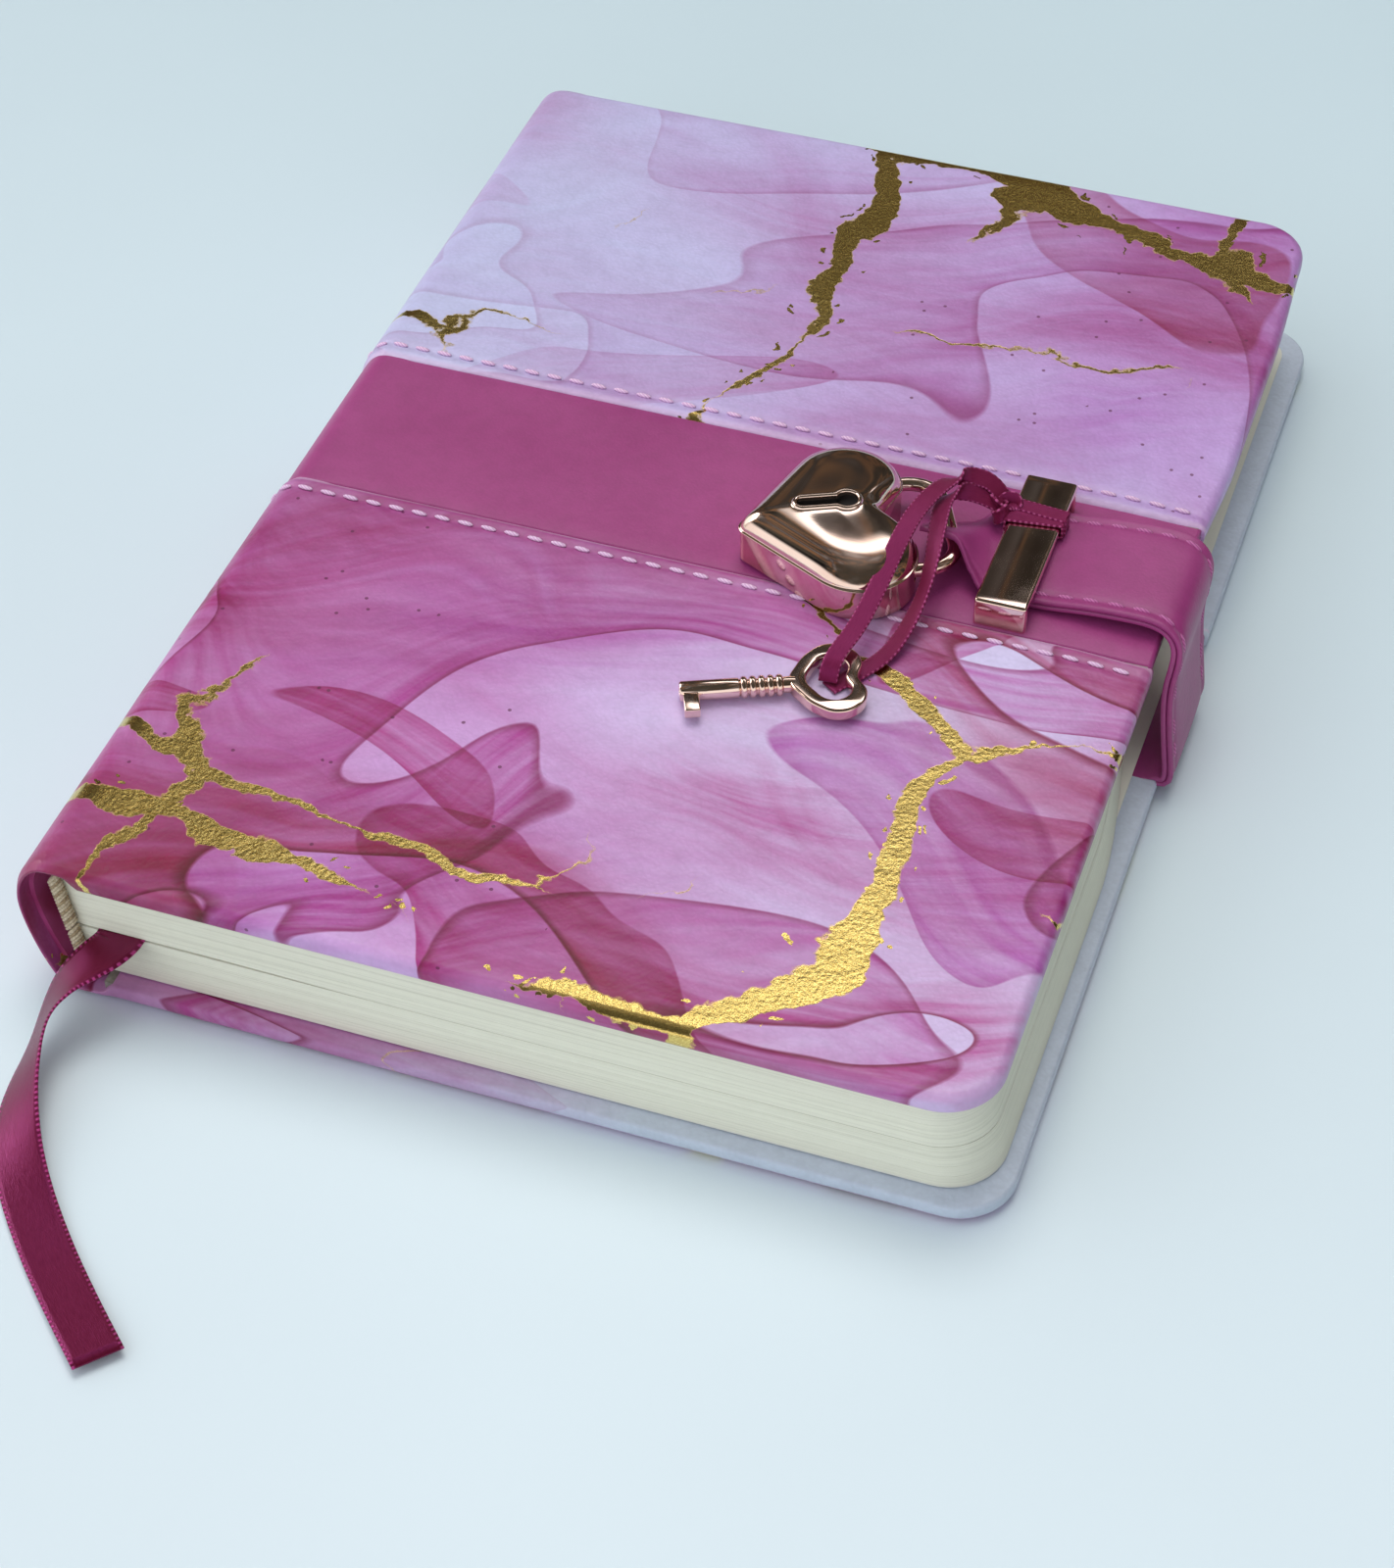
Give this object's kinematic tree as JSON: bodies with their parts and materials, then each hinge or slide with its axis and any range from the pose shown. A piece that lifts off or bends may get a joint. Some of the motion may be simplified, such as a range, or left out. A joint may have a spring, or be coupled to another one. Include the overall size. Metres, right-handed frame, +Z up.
{
  "type": "diary with lock",
  "caption": "Padded A5 diary with rounded corners, a stitched marbled cover, a strap under a metal keeper, a heart padlock, a key on a ribbon and a bookmark ribbon.",
  "frame": {"origin": "on the table under the middle of the closed book and its strap", "axes": "+X from the spine to the fore edge, +Y from the tail to the head, +Z up out of the front cover"},
  "size_m": [0.1546, 0.2779, 0.037],
  "materials": {
    "paper": "uncoated ivory paper",
    "endpaper": "uncoated ivory paper",
    "board": "grey binder's board",
    "printed_leatherette": "printed, fine grain, gold foil veins",
    "plain_leatherette": "plain, fine grain, satin",
    "thread": "satin thread",
    "spine_cloth": "gauze",
    "end_band_cord": "braided cord",
    "key_ribbon": "satin ribbon",
    "bookmark_ribbon": "satin ribbon",
    "rose_gold": "polished champagne plating",
    "plain_steel": "plain"
  },
  "bodies": {
    "book": {"back_board": "board", "back_panel_upper": "printed_leatherette", "back_panel_lower": "printed_leatherette", "back_band": "plain_leatherette", "back_pastedown": "endpaper", "back_stitches": "thread", "back_flyleaf": "endpaper", "page_section_1": "paper", "page_section_2": "paper", "page_section_3": "paper", "page_section_4": "paper", "spine_lining_low": "spine_cloth", "tail_band_low": "end_band_cord", "head_band_low": "end_band_cord", "strap_tab": "plain_leatherette", "bookmark_inside": "bookmark_ribbon", "bookmark_tail": "bookmark_ribbon"},
    "spine": {"spine_panel_upper": "printed_leatherette", "spine_panel_lower": "printed_leatherette", "spine_band": "plain_leatherette", "spine_liner": "board"},
    "front_cover": {"front_board": "board", "front_panel_upper": "printed_leatherette", "front_panel_lower": "printed_leatherette", "front_band": "plain_leatherette", "front_pastedown": "endpaper", "front_stitches": "thread", "keeper": "rose_gold", "keeper_plates": "plain_steel", "shackle": "rose_gold", "key_ribbon_a": "key_ribbon", "key_ribbon_b": "key_ribbon", "key_ribbon_knot": "key_ribbon"},
    "upper_pages": {"page_section_5": "paper", "page_section_6": "paper", "page_section_7": "paper", "page_section_8": "paper", "page_section_9": "paper", "front_flyleaf": "endpaper", "spine_lining_high": "spine_cloth", "tail_band_high": "end_band_cord", "head_band_high": "end_band_cord"},
    "strap_riser": {"strap_riser_outer": "plain_leatherette", "strap_riser_lining": "plain_leatherette"},
    "strap_tongue": {"strap_tongue_outer": "plain_leatherette", "strap_tongue_lining": "plain_leatherette"},
    "lock_body": {"lock_cup": "rose_gold", "lock_dome": "rose_gold", "lock_rivets": "rose_gold", "lock_pivot_pin": "plain_steel", "lock_key_post": "plain_steel", "lock_detent": "plain_steel"},
    "lock_bolt": {"lock_bolt": "plain_steel"},
    "key": {"key": "rose_gold"}
  },
  "joints": [
    {"name": "front_joint", "type": "hinge", "parent": "spine", "child": "front_cover", "pos_m": [-0.0715, 0, 0.02617], "axis": [0, -1, 0], "range_deg": [0, 100], "deforming": ["strap_riser_outer", "strap_riser_lining", "strap_tongue_outer", "strap_tongue_lining"]},
    {"name": "back_joint", "type": "hinge", "parent": "book", "child": "spine", "pos_m": [-0.0715, 0, 0], "axis": [0, -1, 0], "range_deg": [0, 70]},
    {"name": "pages_turn", "type": "hinge", "parent": "book", "child": "upper_pages", "pos_m": [-0.0711, 0, 0.01206], "axis": [0, -1, 0], "range_deg": [0, 148]},
    {"name": "strap_lift", "type": "hinge", "parent": "book", "child": "strap_riser", "pos_m": [0.0738, 0, 0.0044], "axis": [0, 1, 0], "range_deg": [0, 88]},
    {"name": "strap_fold", "type": "hinge", "parent": "strap_riser", "child": "strap_tongue", "pos_m": [0.07175, 0, 0.02777], "axis": [0, 1, 0], "range_deg": [0, 88]},
    {"name": "lock_swing", "type": "hinge", "parent": "front_cover", "child": "lock_body", "pos_m": [0.01688, 0.00838, 0.02982], "axis": [0, 0, -1], "range_deg": [0, 70]},
    {"name": "lock_bolt_slide", "type": "slide", "parent": "lock_body", "child": "lock_bolt", "axis": [0.4226, -0.9063, 0], "range_m": [0, 0.0011]},
    {"name": "key_swivel", "type": "hinge", "parent": "front_cover", "child": "key", "pos_m": [0.0248, -0.0346, 0.02802], "axis": [0, 0, 1], "range_deg": [-30, 30]}
  ],
  "couplings": [
    {"joint": "back_joint", "follows": "front_joint", "ratio": 0.7},
    {"joint": "pages_turn", "follows": "front_joint", "ratio": 1.48},
    {"joint": "strap_lift", "follows": "front_joint", "ratio": 0.88},
    {"joint": "strap_fold", "follows": "front_joint", "ratio": 0.88}
  ]
}
